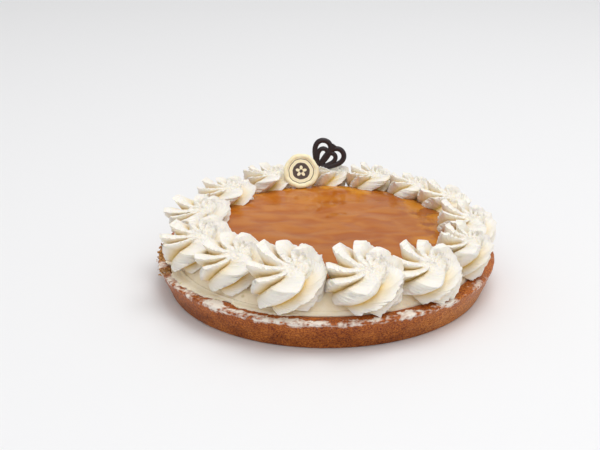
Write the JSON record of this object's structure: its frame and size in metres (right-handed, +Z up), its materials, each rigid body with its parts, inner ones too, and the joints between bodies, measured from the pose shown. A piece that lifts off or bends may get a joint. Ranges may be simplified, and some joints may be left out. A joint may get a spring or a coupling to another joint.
{
  "type": "apricot tart",
  "caption": "Round apricot tart: flared baked crust, mounded custard cream, glazed apricot top, a ring of piped cream rosettes, a white chocolate medallion and a dark chocolate filigree.",
  "frame": {"origin": "middle of the flat underside of the crust", "axes": "+Z up from the underside; -Y towards the viewer of the picture, so the medallion and filigree stand at +Y; +X to the viewer's right"},
  "size_m": [0.2807, 0.28, 0.0875],
  "materials": {
    "crust": "baked golden brown, fine grained, glazed in places near the rim",
    "custard": "matt pale cream with a few small pits",
    "apricot_glaze": "wet amber glaze over apricot",
    "whipped_cream": "soft matt cream",
    "white_chocolate": "satin cast",
    "dark_chocolate": "satin moulded"
  },
  "bodies": {
    "root": {"crust": "crust", "custard": "custard", "apricot": "apricot_glaze", "rosette_01": "whipped_cream", "rosette_02": "whipped_cream", "rosette_03": "whipped_cream", "rosette_04": "whipped_cream", "rosette_05": "whipped_cream", "rosette_06": "whipped_cream", "rosette_07": "whipped_cream", "rosette_08": "whipped_cream", "rosette_09": "whipped_cream", "rosette_10": "whipped_cream", "rosette_11": "whipped_cream", "rosette_12": "whipped_cream", "rosette_13": "whipped_cream", "rosette_14": "whipped_cream", "medallion": "white_chocolate", "filigree": "dark_chocolate"}
  },
  "joints": []
}
